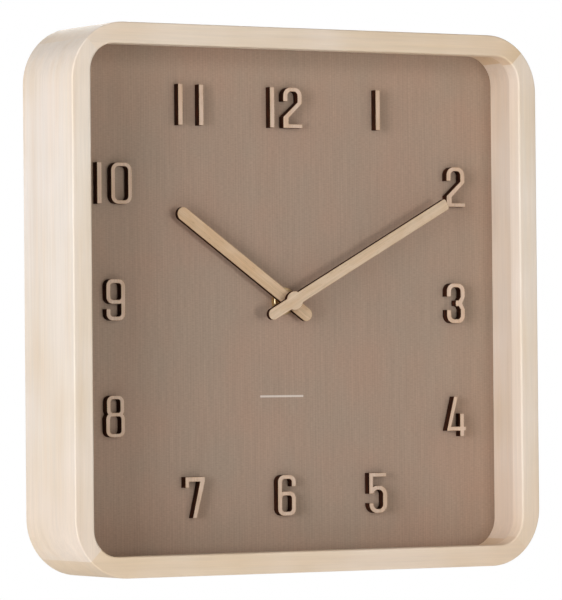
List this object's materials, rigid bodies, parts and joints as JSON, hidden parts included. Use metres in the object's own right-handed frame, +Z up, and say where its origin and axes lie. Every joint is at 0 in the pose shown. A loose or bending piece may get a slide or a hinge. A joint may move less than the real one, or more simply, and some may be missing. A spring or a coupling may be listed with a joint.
{
  "type": "square wall clock",
  "caption": "Square pale wood wall clock with a deep mitred rim, recessed taupe dial, applied wooden numerals, plain wooden hands and a quartz movement hung by a keyhole plate.",
  "frame": {"origin": "centre of the keyhole's entry hole, on the wall plane", "axes": "+Z up, dial faces -Y, +Y points into the wall, +X to the right as seen from the front"},
  "size_m": [0.3, 0.056, 0.3],
  "materials": {
    "rail_wood": "clear matt lacquer over pale basswood",
    "cut_wood": "bare pale plywood with scorched laser-cut edges",
    "batten_wood": "planed softwood",
    "fibreboard": "raw fibreboard",
    "dial_paper": "matt facing sheet with a fine vertical weave",
    "steel": "zinc plated",
    "lamination": "annealed nickel-iron",
    "magnet": "sintered magnet",
    "brass": "turned",
    "rubber": "moulded",
    "case_plastic": "fine spark-eroded grain",
    "train_plastic": "moulded acetal",
    "bobbin_plastic": "moulded nylon",
    "copper": "enamelled winding wire",
    "circuit": "green solder mask",
    "chip": "epoxy blob",
    "nickel": "nickel plated",
    "cell_jacket": "printed jacket without lettering"
  },
  "bodies": {
    "case": {"frame_rail_top": "rail_wood", "frame_rail_right": "rail_wood", "frame_rail_bottom": "rail_wood", "frame_rail_left": "rail_wood", "corner_nails": "steel", "dial_board": "fibreboard", "dial_face": "dial_paper", "retaining_points": "steel", "hanging_batten": "batten_wood", "keyhole_plate": "steel", "hanger_screws": "steel", "numeral_1": "cut_wood", "numeral_2": "cut_wood", "numeral_3": "cut_wood", "numeral_4": "cut_wood", "numeral_5": "cut_wood", "numeral_6": "cut_wood", "numeral_7": "cut_wood", "numeral_8": "cut_wood", "numeral_9": "cut_wood", "numeral_10": "cut_wood", "numeral_11": "cut_wood", "numeral_12": "cut_wood", "threaded_bush": "brass", "rubber_gasket": "rubber", "dial_washer": "brass", "round_nut": "brass", "movement_case": "case_plastic", "movement_cover": "case_plastic", "middle_plate": "train_plastic", "stator": "lamination", "coil_bobbin": "bobbin_plastic", "coil_winding": "copper", "circuit_board": "circuit", "quartz_crystal": "nickel", "control_chip": "chip", "contact_positive": "nickel", "contact_negative": "nickel"},
    "minute": {"minute_hand": "cut_wood", "minute_collet": "brass", "minute_arbor": "brass"},
    "hour": {"hour_hand": "cut_wood", "hour_collet": "brass", "hour_wheel": "train_plastic"},
    "motion": {"motion_wheel": "train_plastic"},
    "knob": {"set_knob": "train_plastic"},
    "rotor": {"rotor_magnet": "magnet", "rotor_pinion": "train_plastic"},
    "intermediate": {"intermediate_wheel": "train_plastic"},
    "seconds": {"seconds_wheel": "train_plastic"},
    "third": {"third_wheel": "train_plastic"},
    "centre": {"centre_wheel": "train_plastic"},
    "cell": {"battery": "cell_jacket"}
  },
  "joints": [
    {"name": "minute_spin", "type": "hinge", "parent": "case", "child": "minute", "pos_m": [0, -0.03, -0.129], "axis": [0, 1, 0], "continuous": true},
    {"name": "hour_spin", "type": "hinge", "parent": "case", "child": "hour", "pos_m": [0, -0.028, -0.129], "axis": [0, 1, 0], "continuous": true},
    {"name": "motion_spin", "type": "hinge", "parent": "case", "child": "motion", "pos_m": [0.0052, -0.016, -0.132], "axis": [0, 1, 0], "continuous": true},
    {"name": "knob_spin", "type": "hinge", "parent": "case", "child": "knob", "pos_m": [0.01111, -0.005, -0.13304], "axis": [0, 1, 0], "continuous": true},
    {"name": "rotor_spin", "type": "hinge", "parent": "case", "child": "rotor", "pos_m": [0.00725, -0.009, -0.11644], "axis": [0, 1, 0], "continuous": true},
    {"name": "intermediate_spin", "type": "hinge", "parent": "case", "child": "intermediate", "pos_m": [0.00375, -0.008, -0.12251], "axis": [0, 1, 0], "continuous": true},
    {"name": "seconds_spin", "type": "hinge", "parent": "case", "child": "seconds", "pos_m": [0, -0.009, -0.129], "axis": [0, 1, 0], "continuous": true},
    {"name": "third_spin", "type": "hinge", "parent": "case", "child": "third", "pos_m": [-0.00618, -0.011, -0.12543], "axis": [0, 1, 0], "continuous": true},
    {"name": "centre_spin", "type": "hinge", "parent": "case", "child": "centre", "pos_m": [0, -0.0137, -0.129], "axis": [0, 1, 0], "continuous": true},
    {"name": "cell_slide", "type": "slide", "parent": "case", "child": "cell", "axis": [0, 1, 0], "range_m": [0, 0.03]}
  ],
  "couplings": [
    {"joint": "hour_spin", "follows": "minute_spin", "ratio": 0.083333},
    {"joint": "motion_spin", "follows": "minute_spin", "ratio": -0.33333},
    {"joint": "knob_spin", "follows": "minute_spin", "ratio": 1},
    {"joint": "intermediate_spin", "follows": "rotor_spin", "ratio": -0.16667},
    {"joint": "seconds_spin", "follows": "rotor_spin", "ratio": 0.033333},
    {"joint": "third_spin", "follows": "rotor_spin", "ratio": -0.0044444},
    {"joint": "centre_spin", "follows": "rotor_spin", "ratio": 0.00055556}
  ]
}
